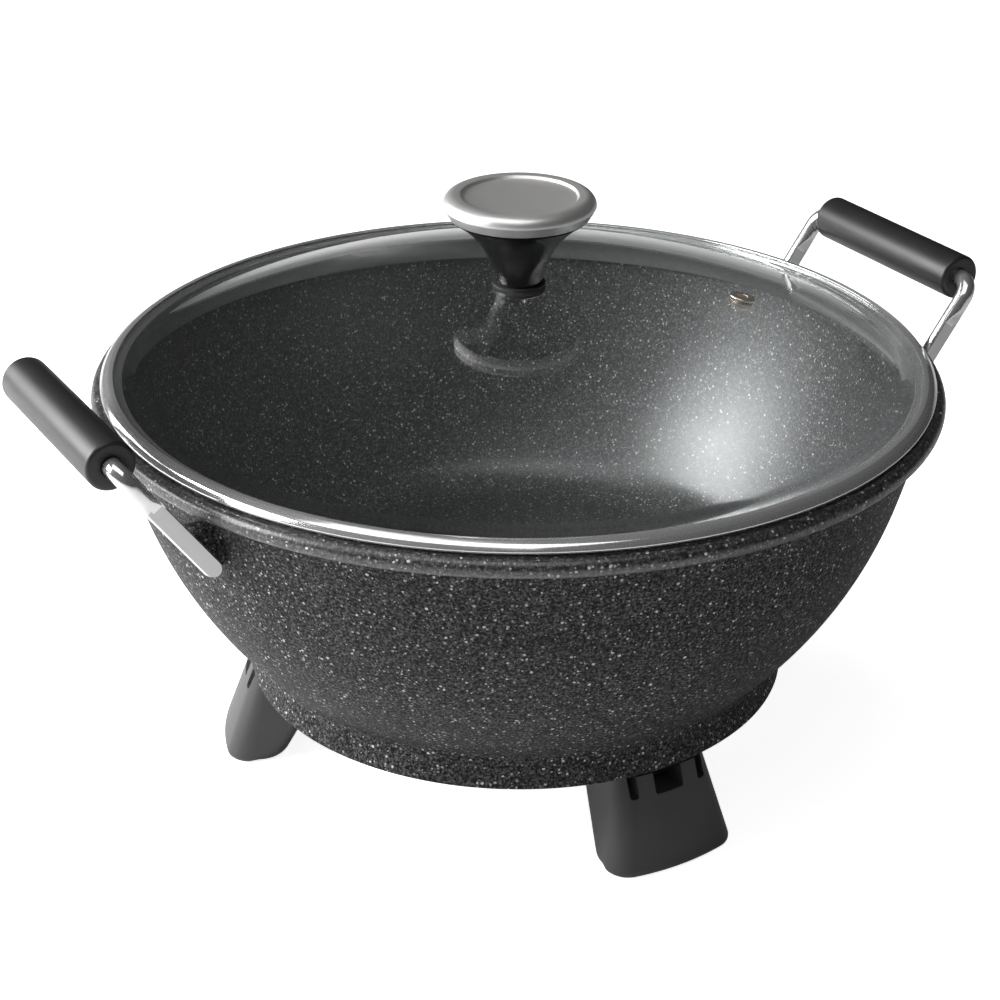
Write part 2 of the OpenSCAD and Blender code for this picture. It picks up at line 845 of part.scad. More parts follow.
module lid_glass() {
    dome_edge = -asin(glass_flat_r / dome_r);
    dome_in_edge = asin(glass_flat_r / dome_in_r);
    color(clear)
    difference() {
        rotate_extrude($fn = big_fn)
            polygon(concat(
                arc(dome_c, dome_r, 90 - asin(glass_hole_r / dome_r), 90 + dome_edge, steps * 2),
                [[glass_r, dome_edge_z], [glass_r, glass_z], [glass_flat_r, glass_z]],
                arc(dome_c, dome_in_r, 90 - dome_in_edge, 90 - asin(glass_hole_r / dome_in_r), steps * 2)));
        at_vent()
            cylinder(r = vent_barrel_r + fit, h = 4 * glass_t, center = true, $fn = 48);
    }
}

module lid_band() {
    color(bright)
    rotate_extrude($fn = big_fn)
        polygon(concat(
            [[lip_r - band_t, lip_z], [lip_r, lip_z], [lip_r, seat_z],
             [bead_mid_r, seat_z], [bead_mid_r, bead_z]],
            arc([lid_r - bead_low_round, bead_z + bead_low_round], bead_low_round, -90, 0, 6),
            arc([lid_r - bead_top_round, band_top_z - bead_top_round], bead_top_round, 0, 90, 8),
            [[crimp_r, band_top_z], [crimp_r, band_top_z - crimp_t], [bead_in_r, band_top_z - crimp_t],
             [bead_in_r, web_z], [lip_r - band_t, web_z]]));
}

// Stands its child on the outer face of the dome at the vent
module at_vent() {
    rotate([0, 0, vent_turn])
        translate([dome_r * sin(vent_tilt), 0, dome_c[1] + dome_r * cos(vent_tilt)])
            rotate([0, vent_tilt, 0])
                children();
}

module vent_eyelet() {
    flange_r = vent_d / 2;
    top_z = vent_lift + vent_flange_t;
    low_z = -glass_t - vent_lift;
    color(brass)
    at_vent()
        rotate_extrude($fn = 64)
            polygon(concat(
                [[vent_bore_r, low_z - vent_flange_t], [vent_low_r, low_z - vent_flange_t],
                 [vent_low_r, low_z], [vent_barrel_r, low_z], [vent_barrel_r, vent_lift]],
                arc([flange_r - vent_roll, vent_lift + vent_roll], vent_roll, -90, 90, 8),
                arc([vent_bore_r + vent_roll, top_z - vent_roll], vent_roll, 90, 180, 6)));
}

module knob_body() {
    color(black)
    difference() {
        rotate_extrude()
            polygon(concat(
                [[0, knob_z]],
                arc([flare_c_r, flare_c_z], knob_flare,
                    180 - asin((knob_z - flare_c_z) / knob_flare),
                    180 - asin((knob_top_z - flare_c_z) / knob_flare), steps),
                [[knob_plug_r, knob_top_z], [knob_plug_r, knob_plug_z], [0, knob_plug_z]]));
        translate([0, 0, knob_z - past])
            cylinder(d = knob_screw_d + 2 * fit, h = knob_bore_depth + past, $fn = 48);
    }
}

module knob_cap() {
    recess_z = cap_crest_z - recess_depth;
    color(steel)
    rotate_extrude()
        polygon(concat(
            [[0, recess_z], [recess_r, recess_z], [recess_edge_r, cap_crest_z - recess_edge_drop]],
            arc(cap_crest_c, cap_round, 90, 0, 12),
            [[cap_edge_r, cap_edge_z], [cap_edge_r - cap_t, cap_edge_z]],
            arc(cap_crest_c, cap_round - cap_t, 0, 90, 12),
            [[recess_r + cap_t, cap_crest_z - cap_t], [recess_r, recess_z - cap_t], [0, recess_z - cap_t]]));
}

module knob_screw() {
    shank = knob_z + knob_screw_in - washer_z;
    color(steel)
    translate([0, 0, washer_z - fit])
        pan_screw(knob_screw_d, shank, pan_r, pan_t);
}

module knob_washer() {
    color(bright)
    translate([0, 0, washer_z])
        difference() {
            cylinder(r = washer_r, h = washer_t - fit, $fn = 64);
            translate([0, 0, -past])
                cylinder(d = knob_screw_d + 2 * hole_fit, h = washer_t + 2 * past, $fn = 48);
        }
}

module knob_gaskets() {
    color(black)
    for (z = [washer_z + washer_t, dome_top])
        translate([0, 0, z + fit / 2])
            difference() {
                cylinder(r = gasket_r, h = gasket_t - fit, $fn = 64);
                translate([0, 0, -past])
                    cylinder(d = knob_screw_d + 2 * hole_fit, h = gasket_t + 2 * past, $fn = 48);
            }
}

wok_bowl();
heating_element();
left_terminal_pin();
right_terminal_pin();
terminal_bushes();
probe_sleeve();
inlet_guard();
guard_screws();
base_plate();
front_leg();
right_leg();
left_leg();
leg_screws();
left_handle_wire();
right_handle_wire();
left_grip();
right_grip();
handle_rivets();
lid_glass();
lid_band();
vent_eyelet();
knob_body();
knob_cap();
knob_screw();
knob_washer();
knob_gaskets();
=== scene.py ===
import math
import bmesh
import bpy
from mathutils import Matrix, Vector


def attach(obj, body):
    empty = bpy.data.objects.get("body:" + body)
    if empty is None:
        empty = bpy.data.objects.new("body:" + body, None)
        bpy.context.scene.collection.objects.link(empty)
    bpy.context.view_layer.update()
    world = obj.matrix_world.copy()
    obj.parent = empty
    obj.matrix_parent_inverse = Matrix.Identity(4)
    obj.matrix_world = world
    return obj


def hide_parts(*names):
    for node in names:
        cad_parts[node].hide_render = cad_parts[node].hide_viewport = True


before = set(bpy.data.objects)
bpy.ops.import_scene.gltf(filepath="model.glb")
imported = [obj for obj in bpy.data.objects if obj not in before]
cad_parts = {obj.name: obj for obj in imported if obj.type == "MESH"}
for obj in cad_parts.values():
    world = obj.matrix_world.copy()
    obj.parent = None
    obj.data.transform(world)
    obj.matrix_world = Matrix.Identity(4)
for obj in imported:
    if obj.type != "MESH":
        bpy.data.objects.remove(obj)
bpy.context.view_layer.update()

mm = 0.001
weld = 0.000002
print("frame loaded,", len(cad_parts), "nodes")


# a socket that takes part in sums, so shader maths reads as an expression
class Wire:
    def __init__(self, tree, out):
        self.tree = tree
        self.out = out

    def sum(self, operation, first, second, clamp=False):
        step = self.tree.nodes.new("ShaderNodeMath")
        step.operation = operation
        step.use_clamp = clamp
        for place, value in zip(step.inputs, (first, second)):
            if isinstance(value, Wire):
                self.tree.links.new(value.out, place)
            else:
                place.default_value = value
        return Wire(self.tree, step.outputs[0])

    def __add__(self, other):
        return self.sum("ADD", self, other)

    def __radd__(self, other):
        return self.sum("ADD", other, self)

    def __sub__(self, other):
        return self.sum("SUBTRACT", self, other)

    def __rsub__(self, other):
        return self.sum("SUBTRACT", other, self)

    def __mul__(self, other):
        return self.sum("MULTIPLY", self, other)

    def __rmul__(self, other):
        return self.sum("MULTIPLY", other, self)

    def __truediv__(self, other):
        return self.sum("DIVIDE", self, other)

    def __rtruediv__(self, other):
        return self.sum("DIVIDE", other, self)

    def __pow__(self, other):
        return self.sum("POWER", self, other)

    def clip(self):
        return self.sum("ADD", self, 0.0, clamp=True)

    def most(self, other):
        return self.sum("MAXIMUM", self, other)


class Shade:
    def __init__(self, tree):
        self.tree = tree
        tree.nodes.clear()

    def node(self, kind, settings=None, inputs=None, out=0):
        made = self.tree.nodes.new(kind)
        for key, value in (settings or {}).items():
            setattr(made, key, value)
        for key, value in (inputs or {}).items():
            if isinstance(value, Wire):
                self.tree.links.new(value.out, made.inputs[key])
            else:
                made.inputs[key].default_value = value
        if isinstance(out, tuple):
            return [Wire(self.tree, made.outputs[name]) for name in out]
        return Wire(self.tree, made.outputs[out]) if made.outputs else made

    def place(self):
        here = self.node("ShaderNodeTexCoord", out="Object")
        return self.node("ShaderNodeVectorMath", {"operation": "SCALE"}, {0: here, "Scale": 1 / mm})

    def noise(self, at, scale, detail, rough, out=0):
        return self.node("ShaderNodeTexNoise", {}, {"Vector": at, "Scale": scale, "Detail": detail,
                                                   "Roughness": rough}, out)

    def blend(self, factor, first, second):
        return self.node("ShaderNodeMix", {"data_type": "RGBA"}, {0: factor, 6: first, 7: second}, 2)

    def bump(self, height, distance, strength):
        return self.node("ShaderNodeBump", {}, {"Height": height, "Distance": distance,
                                                "Strength": strength})


def grey(value, warm=0.0):
    return (value * (1 + warm), value, value * (1 - warm), 1.0)


def finish(name, build):
    made = bpy.data.materials.new(name)
    made.use_nodes = True
    shade = Shade(made.node_tree)
    surface = build(shade)
    shade.node("ShaderNodeOutputMaterial", {}, {"Surface": surface})
    return made


def principled(shade, inputs):
    return shade.node("ShaderNodeBsdfPrincipled", {}, inputs)


# speckled coat: two sizes of pale fleck over a dark mottled satin base
coat = {"base": (0.003, 0.112), "wander": 0.9, "ragged": 0.5, "softEdge": 0.10, "driftScale": 1.7,
        "grainScale": 2.4, "grainBump": 0.00006,
        "mottle": {"scale": 0.85, "low": 0.33, "span": 0.36, "power": 1.9},
        "fleck": {"every": 1.45, "small": 0.10, "large": 0.50, "share": 0.9, "light": (0.05, 0.66)},
        "dot": {"every": 0.85, "small": 0.16, "large": 0.50, "share": 0.6, "light": (0.02, 0.26)}}


def flecks(shade, at, rag, kind, fine, share):
    cells = {"Vector": at, "Scale": 1 / (kind["every"] * fine)}
    distance, colour = shade.node("ShaderNodeTexVoronoi", {}, cells, ("Distance", "Color"))
    size, shine, luck = shade.node("ShaderNodeSeparateColor", {}, {0: colour}, (0, 1, 2))
    radius = kind["small"] + size ** 2.0 * (kind["large"] - kind["small"]) + coat["ragged"] * (rag - 0.5)
    inside = ((radius - distance) / coat["softEdge"]).clip()
    chosen = ((kind["share"] * share - luck) * 40).clip()
    dull, bright = kind["light"]
    return inside * chosen, dull + shine ** 2.0 * (bright - dull)


def coatFinish(name, fine, share, dim, rough, ior):
    def build(shade):
        at = shade.place()
        drift = shade.noise(at, coat["driftScale"], 2.0, 0.6, "Color")
        shifted = shade.node("ShaderNodeVectorMath", {"operation": "MULTIPLY_ADD"},
                             {0: drift, 1: [coat["wander"]] * 3, 2: at})
        grain = shade.noise(at, coat["grainScale"], 3.0, 0.7)
        bigMask, bigLight = flecks(shade, shifted, grain, coat["fleck"], fine, share)
        dotMask, dotLight = flecks(shade, shifted, grain, coat["dot"], fine, share)
        dark, pale = coat["base"]
        cloud = coat["mottle"]
        mottle = ((shade.noise(at, cloud["scale"], 2.0, 0.6) - cloud["low"]) / cloud["span"]).clip()
        value = dark + mottle ** cloud["power"] * (pale - dark)
        value = value.most(dotLight * dotMask).most(bigLight * bigMask) * dim
        colour = shade.blend(value, (0, 0, 0, 1), (0.995, 1.0, 1.0, 1))
        gloss = rough - 0.05 * bigMask + 0.12 * (grain - 0.5)
        height = grain * 0.6 + bigMask * 0.5 + dotMask * 0.25
        return principled(shade, {"Base Color": colour, "Roughness": gloss, "IOR": ior,
                                  "Normal": shade.bump(height, coat["grainBump"], 0.6)})
    return finish(name, build)


def steelFinish(name, value, rough, streak=0.0, warm=0.0, metal=1.0):
    def build(shade):
        at = shade.place()
        cloud = shade.noise(at, 0.06, 3.0, 0.6)
        fine = shade.noise(at, 1.8, 2.0, 0.6)
        colour = shade.blend(cloud, grey(value * 0.94, warm), grey(value, warm))
        gloss = rough * (0.75 + 0.5 * cloud) + streak * (fine - 0.5)
        return principled(shade, {"Base Color": colour, "Metallic": metal, "Roughness": gloss.clip(),
                                  "Normal": shade.bump(fine, 0.00001, 0.15 + streak)})
    return finish(name, build)


def turnedFinish(name, value, rough, pitch, warm=0.0, metal=1.0):
    # fine rings round the z axis, as left by a lathe or a spinning brush
    def build(shade):
        at = shade.place()
        flat = shade.node("ShaderNodeVectorMath", {"operation": "MULTIPLY"}, {0: at, 1: (1, 1, 0)})
        radius = shade.node("ShaderNodeVectorMath", {"operation": "LENGTH"}, {0: flat}, "Value")
        line = shade.node("ShaderNodeCombineXYZ", {}, {0: radius})
        rings = shade.noise(line, pitch, 3.0, 0.75)
        cloud = shade.noise(at, 0.12, 3.0, 0.6)
        colour = shade.blend(rings * 0.6 + cloud * 0.4, grey(value * 0.82, warm), grey(value, warm))
        gloss = rough * (0.7 + 0.35 * rings + 0.35 * cloud)
        return principled(shade, {"Base Color": colour, "Metallic": metal, "Roughness": gloss.clip(),
                                  "Normal": shade.bump(rings, 0.00002, 0.35)})
    return finish(name, build)


def plasticFinish(name, value, rough, grainScale, grainHeight, coatWeight=0.0):
    def build(shade):
        at = shade.place()
        grain = shade.noise(at, grainScale, 3.0, 0.65)
        cloud = shade.noise(at, 0.05, 3.0, 0.55)
        colour = shade.blend(cloud * 0.6 + grain * 0.4, grey(value * 0.72), grey(value * 1.25))
        gloss = rough * (0.85 + 0.3 * cloud) + 0.08 * (grain - 0.5)
        return principled(shade, {"Base Color": colour, "Roughness": gloss.clip(), "IOR": 1.5,
                                  "Coat Weight": coatWeight, "Coat Roughness": 0.08,
                                  "Normal": shade.bump(grain, grainHeight, 0.4)})
    return finish(name, build)


def glassFinish(name):
    def build(shade):
        at = shade.place()
        haze = shade.noise(at, 0.03, 2.0, 0.5)
        shadow, diffuse = shade.node("ShaderNodeLightPath", out=("Is Shadow Ray", "Is Diffuse Ray"))
        body = principled(shade, {"Base Color": (0.97, 0.985, 0.985, 1.0), "IOR": 1.40,
                                  "Roughness": 0.004 + 0.012 * haze, "Transmission Weight": 1.0})
        clear = shade.node("ShaderNodeBsdfTransparent", {}, {"Color": (0.93, 0.94, 0.94, 1.0)})
        return shade.node("ShaderNodeMixShader", {}, {0: shadow.most(diffuse), 1: body, 2: clear})
    return finish(name, build)


finishes = {
    "coatOutside": coatFinish("speckledCoatOutside", fine=1.0, share=1.0, dim=1.0, rough=0.57, ior=1.19),
    "coatRim": coatFinish("speckledCoatRim", fine=1.0, share=1.0, dim=1.0, rough=0.34, ior=1.70),
    "coatInside": coatFinish("speckledCoatInside", fine=0.80, share=1.15, dim=1.1, rough=0.36, ior=1.82),
    "polished": steelFinish("polishedSteel", 0.78, rough=0.12, metal=0.85),
    "rolledBand": steelFinish("rolledBandSteel", 0.80, rough=0.13, streak=0.02, metal=0.80),
    "satin": steelFinish("satinStrapSteel", 0.54, rough=0.34, streak=0.10),
    "brushedCap": turnedFinish("brushedCapSteel", 0.84, rough=0.34, pitch=5.0, warm=0.01, metal=0.75),
    "knobBlack": plasticFinish("glossKnobBlack", 0.010, rough=0.16, grainScale=1.2, grainHeight=0.00001,
                               coatWeight=0.5),
    "gripBlack": plasticFinish("satinGripBlack", 0.016, rough=0.42, grainScale=1.6, grainHeight=0.00004),
    "legBlack": plasticFinish("matteLegBlack", 0.050, rough=0.40, grainScale=2.2, grainHeight=0.00005),
    "glass": glassFinish("clearLidGlass"),
    "brass": steelFinish("paleEyeletBrass", 0.80, rough=0.24, streak=0.02, warm=0.12, metal=0.8),
    "zinc": steelFinish("zincScrewSteel", 0.60, rough=0.26, streak=0.08),
    "sheet": turnedFinish("pressedBaseSheet", 0.50, rough=0.34, pitch=0.9),
    "sheath": steelFinish("darkElementSheath", 0.30, rough=0.42, streak=0.10, warm=0.03),
    "turnedPin": steelFinish("turnedPinSteel", 0.70, rough=0.20, streak=0.04),
    "ceramic": plasticFinish("whiteBushCeramic", 0.72, rough=0.22, grainScale=0.8, grainHeight=0.00001,
                             coatWeight=0.3),
    "rubber": plasticFinish("blackGasketRubber", 0.018, rough=0.62, grainScale=1.4, grainHeight=0.00004),
}
print("finishes made:", len(finishes))


# modelling helpers
def fresh():
    if bpy.context.object and bpy.context.object.mode != "OBJECT":
        bpy.ops.object.mode_set(mode="OBJECT")
    bpy.ops.object.select_all(action="DESELECT")


def only(piece):
    fresh()
    piece.select_set(True)
    bpy.context.view_layer.objects.active = piece


def remove(piece):
    fresh()
    piece.select_set(True)
    bpy.ops.object.delete()


def join(pieces, into):
    fresh()
    for piece in pieces + [into]:
        piece.select_set(True)
    bpy.context.view_layer.objects.active = into
    bpy.ops.object.join()


def pick(piece, kind, test):
    bpy.ops.mesh.select_mode(type=kind)
    bpy.ops.mesh.select_all(action="DESELECT")
    shape = bmesh.from_edit_mesh(piece.data)
    for part in {"VERT": shape.verts, "EDGE": shape.edges, "FACE": shape.faces}[kind]:
        if test(part):
            part.select_set(True)
    shape.select_flush_mode()
    bmesh.update_edit_mesh(piece.data)


def bow(centre, radius, start, end, steps):
    turn = [math.radians(start + (end - start) * i / steps) for i in range(steps + 1)]
    return [(centre[0] + radius * math.cos(a), centre[1] + radius * math.sin(a)) for a in turn]


def soften(corners, steps):
    # (x, z, rounding) corners to an outline with round corners
    path = []
    for i, (x, z, rounding) in enumerate(corners):
        if not rounding:
            path.append((x, z))
            continue
        here = Vector((x, z))
        back = (Vector(corners[i - 1][:2]) - here).normalized()
        on = (Vector(corners[(i + 1) % len(corners)][:2]) - here).normalized()
        half = back.angle(on) / 2
        centre = here + (back + on).normalized() * (rounding / math.sin(half))
        first = here + back * (rounding / math.tan(half)) - centre
        last = here + on * (rounding / math.tan(half)) - centre
        start = math.degrees(math.atan2(first.y, first.x))
        end = math.degrees(math.atan2(last.y, last.x))
        end += 360 if end - start < -180 else -360 if end - start > 180 else 0
        path += bow(centre, rounding, start, end, steps)
    return path


def startPoint(name, place):
    # one vertex to draw from: a small plane merged to its middle
    fresh()
    bpy.ops.mesh.primitive_plane_add(size=mm, location=place)
    piece = bpy.context.object
    piece.name = name
    bpy.ops.object.transform_apply(location=True, rotation=True, scale=True)
    bpy.ops.object.mode_set(mode="EDIT")
    bpy.ops.mesh.select_mode(type="VERT")
    bpy.ops.mesh.select_all(action="SELECT")
    bpy.ops.mesh.merge(type="CENTER")
    return piece


def drawOn(steps):
    for move in steps:
        bpy.ops.mesh.extrude_region_move(TRANSFORM_OT_translate={"value": move})


def drawPath(name, outline, y=0):
    # an outline in the x-z plane, drawn from its first point
    piece = startPoint(name, (outline[0][0] * mm, y * mm, outline[0][1] * mm))
    drawOn([((b[0] - a[0]) * mm, 0, (b[1] - a[1]) * mm) for a, b in zip(outline, outline[1:])])
    return piece


def thicken(depth):
    # fills the drawn outline and pulls it out along y
    bpy.ops.mesh.select_all(action="SELECT")
    bpy.ops.mesh.edge_face_add()
    bpy.ops.mesh.extrude_region_move(TRANSFORM_OT_translate={"value": (0, depth * mm, 0)})


def turned(name, section, steps, closed=True):
    # a section in the x-z plane spun round the z axis
    piece = drawPath(name, section + [section[0]] if closed else section)
    bpy.ops.mesh.select_all(action="SELECT")
    bpy.ops.mesh.remove_doubles(threshold=weld)
    bpy.ops.mesh.select_all(action="SELECT")
    bpy.ops.mesh.spin(steps=steps, angle=math.tau, center=(0, 0, 0), axis=(0, 0, 1))
    tidyMesh()
    return piece


def tidyMesh():
    bpy.ops.mesh.select_all(action="SELECT")
    bpy.ops.mesh.remove_doubles(threshold=weld)
    bpy.ops.mesh.normals_make_consistent(inside=False)
    bpy.ops.object.mode_set(mode="OBJECT")


def smooth(piece, angle):
    only(piece)
    bpy.ops.object.shade_smooth_by_angle(angle=math.radians(angle))


def cutAway(piece, cutter):
    only(piece)
    cut = piece.modifiers.new("cut", "BOOLEAN")
    cut.operation = "DIFFERENCE"
    cut.solver = "EXACT"
    cut.object = cutter
    bpy.ops.object.modifier_apply(modifier=cut.name)
    remove(cutter)


def settle(piece):
    only(piece)
    bpy.ops.object.transform_apply(location=True, rotation=True, scale=True)


def block(low, high, rounding, along):
    # a box between two corners with its edges along one axis rounded
    fresh()
    bpy.ops.mesh.primitive_cube_add(size=1, location=[(a + b) / 2 * mm for a, b in zip(low, high)])
    piece = bpy.context.object
    piece.scale = [(b - a) * mm for a, b in zip(low, high)]
    settle(piece)
    bpy.ops.object.mode_set(mode="EDIT")
    pick(piece, "EDGE", lambda e: abs((e.verts[0].co - e.verts[1].co)[along]) > 1e-4)
    bpy.ops.mesh.bevel(offset=rounding * mm, segments=4, affect="EDGES")
    bpy.ops.object.mode_set(mode="OBJECT")
    return piece


def dress(piece, body, slot, finishName, *nodes):
    if not piece.data.materials:
        piece.data.materials.append(finishes[finishName])
    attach(piece, body)
    if nodes:
        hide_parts(*nodes)


# bowl: rolled rim, leaning wall, round belly and flared skirt, one casting
bowl = {"rimR": 178, "rimZ": 175, "beadR": 3.8, "land": 7.2, "overhang": 7.3, "rimDepth": 9, "wall": 4,
        "lean": 14.5, "straight": 27, "bellyR": 184, "floorZ": 62, "floorT": 6, "floorCurve": 32,
        "skirtZ": 40, "skirtR": 117.2, "skirtT": 4, "flare": 9, "skirtCurve": 8,
        "mouthRound": 3.0, "landRound": 1.2, "neck": (0.4, 1.0), "neckRound": 0.9, "skirtRound": 0.9,
        "underRound": 3.0, "insideR": 167.2, "notchHalf": 32.7, "notchLow": 38.6, "notchTop": 58.4,
        "notchY": 99, "notchLen": 82, "notchRound": 4}


def bearing(start, end):
    return math.degrees(math.atan2(end[1] - start[1], end[0] - start[0]))


def bowlSection(b):
    lean = math.radians(b["lean"])
    mouth = b["rimR"] - b["beadR"] - b["land"]
    wallTop = (b["rimR"] - b["overhang"], b["rimZ"] - b["rimDepth"])
    foot = (wallTop[0] - b["straight"] * math.tan(lean), wallTop[1] - b["straight"])
    belly = (foot[0] - b["bellyR"] * math.cos(lean), foot[1] + b["bellyR"] * math.sin(lean))
    inner = b["bellyR"] - b["wall"]
    mouthLow = wallTop[1] + (mouth - wallTop[0] + b["wall"] / math.cos(lean)) / math.tan(lean)
    curveZ = b["floorZ"] + b["floorCurve"]
    curve = (belly[0] + math.sqrt((inner - b["floorCurve"]) ** 2 - (belly[1] - curveZ) ** 2), curveZ)
    flare = math.tan(math.radians(b["flare"]))
    steep = math.cos(math.radians(b["flare"]))
    run = b["skirtR"] + flare * b["skirtZ"] + b["skirtCurve"] / steep - belly[0]
    mix = run * flare + belly[1]
    square = 1 + flare * flare
    left = run * run + belly[1] ** 2 - (b["bellyR"] + b["skirtCurve"]) ** 2
    hollowZ = (mix - math.sqrt(mix * mix - square * left)) / square
    hollow = (belly[0] + run - flare * hollowZ, hollowZ)
    under = b["floorZ"] - b["floorT"]
    skirtIn = [b["skirtR"] - b["skirtT"] / steep - (z - b["skirtZ"]) * flare for z in (b["skirtZ"], under)]
    meet = bearing(belly, curve)
    bead = (b["rimR"] - b["beadR"], b["rimZ"] - b["beadR"])
    path = [(0, b["floorZ"]), (curve[0] * 0.5, b["floorZ"])]
    path += bow(curve, b["floorCurve"], -90, meet, 14)
    path += bow(belly, inner, meet, -b["lean"], 40)[1:]
    path += soften([(foot[0], foot[1], 0), (mouth, mouthLow, b["mouthRound"]),
                    (mouth, b["rimZ"], b["landRound"]), (bead[0], b["rimZ"], 0)], 5)[1:]
    path += bow(bead, b["beadR"], 90, -90, 16)[1:]
    path += soften([(bead[0], bead[1] - b["beadR"], 0),
                    (wallTop[0] + b["neck"][0], wallTop[1] + b["neck"][1], b["neckRound"]),
                    (foot[0], foot[1], 0)], 5)[1:-1]
    path += bow(belly, b["bellyR"], -b["lean"], bearing(belly, hollow), 48)
    path += bow(hollow, b["skirtCurve"], bearing(hollow, belly), 180 + b["flare"], 12)[1:]
    path += soften([(hollow[0] - b["skirtCurve"], hollow[1], 0),
                    (b["skirtR"], b["skirtZ"], b["skirtRound"]), (skirtIn[0], b["skirtZ"], b["skirtRound"]),
                    (skirtIn[1], under, b["underRound"]), (0, under, 0)], 5)[1:]
    return path


def inBowl(face):
    mid = face.center
    reach = math.hypot(mid.x, mid.y)
    facing = (face.normal.x * mid.x + face.normal.y * mid.y) / max(reach, 1e-6)
    within = mid.z > (bowl["floorZ"] - 1) * mm and reach < bowl["insideR"] * mm
    facesIn = facing < -0.05
    facesUp = face.normal.z > 0.5
    return within and (facesIn or facesUp)


wokBowl = turned("wokBowl", bowlSection(bowl), 240, closed=False)
for name in ("coatOutside", "coatInside", "coatRim"):
    wokBowl.data.materials.append(finishes[name])
for face in wokBowl.data.polygons:
    onRim = face.center.z > (bowl["rimZ"] - 2 * bowl["beadR"] - 0.2) * mm
    face.material_index = 1 if inBowl(face) else 2 if onRim else 0

# the notch in the skirt for the inlet
cutAway(wokBowl, block((-bowl["notchHalf"], bowl["notchY"], bowl["notchLow"]),
                       (bowl["notchHalf"], bowl["notchY"] + bowl["notchLen"], bowl["notchTop"]),
                       bowl["notchRound"], 1))

# cast lugs behind the handle straps
lug = {"gripX": 198.5, "gripZ": 193.5, "tipZ": 147.6, "slope": 54, "low": -2, "high": 15.5, "half": 3.3,
       "face": 51.9, "thick": 9.6, "round": 1.2, "root": 2.1}


def strapPoint(along, across):
    slope = math.radians(lug["slope"])
    tipX = lug["gripX"] - (lug["gripZ"] - lug["tipZ"]) / math.tan(slope)
    return (tipX + along * math.cos(slope) + across * math.sin(slope),
            lug["tipZ"] + along * math.sin(slope) - across * math.cos(slope))


def wallMiddle(z):
    wallTop = bowl["rimZ"] - bowl["rimDepth"]
    outside = bowl["rimR"] - bowl["overhang"] + (z - wallTop) * math.tan(math.radians(bowl["lean"]))
    return outside - lug["root"]


def castLug(name):
    low = strapPoint(lug["low"], 0)[1]
    corners = [strapPoint(lug["low"], lug["half"]), strapPoint(lug["high"], lug["half"]),
               strapPoint(lug["high"], -lug["half"])]
    roots = [strapPoint(lug["high"], -lug["half"])[1], low]
    near = lug["face"] - lug["thick"]
    outline = corners + [(math.sqrt(wallMiddle(z) ** 2 - near ** 2), z) for z in roots]
    piece = drawPath(name, outline, near)
    thicken(lug["thick"])
    # the far root corners go back into the wall
    for z in roots:
        pick(piece, "VERT", lambda v: v.co.y > (near + 1) * mm and abs(v.co.z - z * mm) < 1e-5
             and v.co.x < (outline[3][0] + 1) * mm)
        back = math.sqrt(wallMiddle(z) ** 2 - lug["face"] ** 2) - math.sqrt(wallMiddle(z) ** 2 - near ** 2)
        bpy.ops.transform.translate(value=(back * mm, 0, 0))
    bpy.ops.mesh.select_all(action="SELECT")
    bpy.ops.mesh.bevel(offset=lug["round"] * mm, segments=4, affect="EDGES")
    tidyMesh()
    return piece


lugs = []
for sideX in (1, -1):
    for sideY in (1, -1):
        piece = castLug("castLug")
        piece.data.materials.append(finishes["coatOutside"])
        piece.scale = (sideX, sideY, 1)
        settle(piece)
        bpy.ops.object.mode_set(mode="EDIT")
        tidyMesh()
        lugs.append(piece)
join(lugs, wokBowl)
smooth(wokBowl, 38)
dress(wokBowl, "pot", "speckled_coat", "coatOutside", "wok_bowl")
print("bowl made,", len(wokBowl.data.polygons), "faces")


# handles: a bent wire with flattened ends, and a moulded grip round it
handle = {"wireR": 3.8, "half": 54.2, "bend": 7.5, "strapLen": 36, "blend": 8, "blendSteps": 5,
          "strapHalf": 3.9, "strapFlat": 2.2, "tipTurns": (15, 30, 45, 58, 70, 80),
          "legLen": (lug["gripZ"] - lug["tipZ"]) / math.sin(math.radians(lug["slope"]))}


